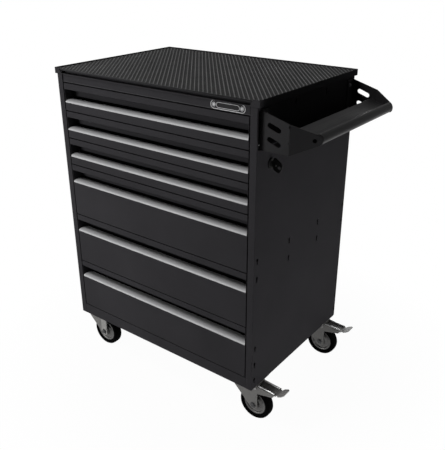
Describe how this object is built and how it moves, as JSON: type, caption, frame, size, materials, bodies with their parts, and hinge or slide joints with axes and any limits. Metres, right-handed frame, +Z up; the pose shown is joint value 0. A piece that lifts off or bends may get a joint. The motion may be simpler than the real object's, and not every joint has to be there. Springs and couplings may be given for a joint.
{
  "type": "tool cabinet",
  "caption": "Roller tool cabinet with sliding drawers, a side push handle with a tray behind its bar, a ribbed worktop mat, a side lock and swivel castors, some of them braked.",
  "frame": {"origin": "on the floor, in the middle of the part's footprint with its push handle", "axes": "+Z up, the drawers open towards -Y, the push handle is at +X"},
  "size_m": [0.8326, 0.485, 0.9278],
  "materials": {
    "paint": "satin black-grey powder coat",
    "mat": "ribbed, matt",
    "grip": "satin anodised",
    "lock": "black, slightly glossy",
    "zinc": "dull zinc plate",
    "wheel": "dark grey, satin",
    "tyre": "matt black rubber"
  },
  "bodies": {
    "cabinet": {"back_panel": "paint", "base_panel": "paint", "castor_front_left_plate": "zinc", "castor_front_right_plate": "zinc", "castor_rear_left_plate": "zinc", "castor_rear_right_plate": "zinc", "left_side_panel": "paint", "left_slide_rack": "zinc", "lock_barrel": "lock", "push_handle_bar": "paint", "push_handle_front_bracket": "paint", "push_handle_rear_bracket": "paint", "right_side_panel": "paint", "right_slide_rack": "zinc", "top_mat": "mat", "worktop": "paint"},
    "drawer_1": {"drawer_1_box": "paint", "drawer_1_grip": "grip"},
    "drawer_1_slides": {"drawer_1_slide_left": "zinc", "drawer_1_slide_right": "zinc"},
    "drawer_2": {"drawer_2_box": "paint", "drawer_2_grip": "grip"},
    "drawer_2_slides": {"drawer_2_slide_left": "zinc", "drawer_2_slide_right": "zinc"},
    "drawer_3": {"drawer_3_box": "paint", "drawer_3_grip": "grip"},
    "drawer_3_slides": {"drawer_3_slide_left": "zinc", "drawer_3_slide_right": "zinc"},
    "drawer_4": {"drawer_4_box": "paint", "drawer_4_grip": "grip"},
    "drawer_4_slides": {"drawer_4_slide_left": "zinc", "drawer_4_slide_right": "zinc"},
    "drawer_5": {"drawer_5_box": "paint", "drawer_5_grip": "grip"},
    "drawer_5_slides": {"drawer_5_slide_left": "zinc", "drawer_5_slide_right": "zinc"},
    "drawer_6": {"drawer_6_box": "paint", "drawer_6_grip": "grip"},
    "drawer_6_slides": {"drawer_6_slide_left": "zinc", "drawer_6_slide_right": "zinc"},
    "castor_front_left_swivel": {"castor_front_left_fork": "zinc", "castor_front_left_axle": "wheel"},
    "castor_front_left_wheel": {"castor_front_left_rim": "wheel", "castor_front_left_tyre": "tyre"},
    "castor_front_right_swivel": {"castor_front_right_fork": "zinc", "castor_front_right_axle": "wheel"},
    "castor_front_right_wheel": {"castor_front_right_rim": "wheel", "castor_front_right_tyre": "tyre"},
    "castor_front_right_brake": {"castor_front_right_pedal": "zinc"},
    "castor_rear_left_swivel": {"castor_rear_left_fork": "zinc", "castor_rear_left_axle": "wheel"},
    "castor_rear_left_wheel": {"castor_rear_left_rim": "wheel", "castor_rear_left_tyre": "tyre"},
    "castor_rear_right_swivel": {"castor_rear_right_fork": "zinc", "castor_rear_right_axle": "wheel"},
    "castor_rear_right_wheel": {"castor_rear_right_rim": "wheel", "castor_rear_right_tyre": "tyre"},
    "castor_rear_right_brake": {"castor_rear_right_pedal": "zinc"},
    "key": {"lock_key": "lock"},
    "lock_bar": {"lock_bar": "zinc"}
  },
  "joints": [
    {"name": "drawer_1_pull", "type": "slide", "parent": "cabinet", "child": "drawer_1", "axis": [0, -1, 0], "range_m": [0, 0.38]},
    {"name": "drawer_1_slide_run", "type": "slide", "parent": "cabinet", "child": "drawer_1_slides", "axis": [0, -1, 0], "range_m": [0, 0.19]},
    {"name": "drawer_2_pull", "type": "slide", "parent": "cabinet", "child": "drawer_2", "axis": [0, -1, 0], "range_m": [0, 0.38]},
    {"name": "drawer_2_slide_run", "type": "slide", "parent": "cabinet", "child": "drawer_2_slides", "axis": [0, -1, 0], "range_m": [0, 0.19]},
    {"name": "drawer_3_pull", "type": "slide", "parent": "cabinet", "child": "drawer_3", "axis": [0, -1, 0], "range_m": [0, 0.38]},
    {"name": "drawer_3_slide_run", "type": "slide", "parent": "cabinet", "child": "drawer_3_slides", "axis": [0, -1, 0], "range_m": [0, 0.19]},
    {"name": "drawer_4_pull", "type": "slide", "parent": "cabinet", "child": "drawer_4", "axis": [0, -1, 0], "range_m": [0, 0.38]},
    {"name": "drawer_4_slide_run", "type": "slide", "parent": "cabinet", "child": "drawer_4_slides", "axis": [0, -1, 0], "range_m": [0, 0.19]},
    {"name": "drawer_5_pull", "type": "slide", "parent": "cabinet", "child": "drawer_5", "axis": [0, -1, 0], "range_m": [0, 0.38]},
    {"name": "drawer_5_slide_run", "type": "slide", "parent": "cabinet", "child": "drawer_5_slides", "axis": [0, -1, 0], "range_m": [0, 0.19]},
    {"name": "drawer_6_pull", "type": "slide", "parent": "cabinet", "child": "drawer_6", "axis": [0, -1, 0], "range_m": [0, 0.38]},
    {"name": "drawer_6_slide_run", "type": "slide", "parent": "cabinet", "child": "drawer_6_slides", "axis": [0, -1, 0], "range_m": [0, 0.19]},
    {"name": "castor_front_left_swivel_turn", "type": "hinge", "parent": "cabinet", "child": "castor_front_left_swivel", "pos_m": [-0.36828, -0.1855, 0.12976], "axis": [0, 0, 1], "continuous": true},
    {"name": "castor_front_left_wheel_spin", "type": "hinge", "parent": "castor_front_left_swivel", "child": "castor_front_left_wheel", "pos_m": [-0.34828, -0.1855, 0.04976], "axis": [0, 1, 0], "continuous": true},
    {"name": "castor_front_right_swivel_turn", "type": "hinge", "parent": "cabinet", "child": "castor_front_right_swivel", "pos_m": [0.23972, -0.1855, 0.12976], "axis": [0, 0, 1], "continuous": true},
    {"name": "castor_front_right_wheel_spin", "type": "hinge", "parent": "castor_front_right_swivel", "child": "castor_front_right_wheel", "pos_m": [0.25972, -0.1855, 0.04976], "axis": [0, 1, 0], "continuous": true},
    {"name": "castor_front_right_brake_press", "type": "hinge", "parent": "castor_front_right_swivel", "child": "castor_front_right_brake", "pos_m": [0.26572, -0.1855, 0.11176], "axis": [0, 1, 0], "range_deg": [0, 8]},
    {"name": "castor_rear_left_swivel_turn", "type": "hinge", "parent": "cabinet", "child": "castor_rear_left_swivel", "pos_m": [-0.36828, 0.2015, 0.12976], "axis": [0, 0, 1], "continuous": true},
    {"name": "castor_rear_left_wheel_spin", "type": "hinge", "parent": "castor_rear_left_swivel", "child": "castor_rear_left_wheel", "pos_m": [-0.34828, 0.2015, 0.04976], "axis": [0, 1, 0], "continuous": true},
    {"name": "castor_rear_right_swivel_turn", "type": "hinge", "parent": "cabinet", "child": "castor_rear_right_swivel", "pos_m": [0.23972, 0.2015, 0.12976], "axis": [0, 0, 1], "continuous": true},
    {"name": "castor_rear_right_wheel_spin", "type": "hinge", "parent": "castor_rear_right_swivel", "child": "castor_rear_right_wheel", "pos_m": [0.25972, 0.2015, 0.04976], "axis": [0, 1, 0], "continuous": true},
    {"name": "castor_rear_right_brake_press", "type": "hinge", "parent": "castor_rear_right_swivel", "child": "castor_rear_right_brake", "pos_m": [0.26572, 0.2015, 0.11176], "axis": [0, 1, 0], "range_deg": [0, 8]},
    {"name": "key_turn", "type": "hinge", "parent": "cabinet", "child": "key", "pos_m": [0.27572, -0.1785, 0.76576], "axis": [-1, 0, 0], "range_deg": [0, 90]},
    {"name": "lock_bar_slide", "type": "slide", "parent": "cabinet", "child": "lock_bar", "axis": [0, 0, 1], "range_m": [0, 0.009]}
  ],
  "couplings": [
    {"joint": "drawer_1_slide_run", "follows": "drawer_1_pull", "ratio": 0.5},
    {"joint": "drawer_2_slide_run", "follows": "drawer_2_pull", "ratio": 0.5},
    {"joint": "drawer_3_slide_run", "follows": "drawer_3_pull", "ratio": 0.5},
    {"joint": "drawer_4_slide_run", "follows": "drawer_4_pull", "ratio": 0.5},
    {"joint": "drawer_5_slide_run", "follows": "drawer_5_pull", "ratio": 0.5},
    {"joint": "drawer_6_slide_run", "follows": "drawer_6_pull", "ratio": 0.5},
    {"joint": "key_turn", "follows": "lock_bar_slide", "rad_per_m": 174.53}
  ]
}
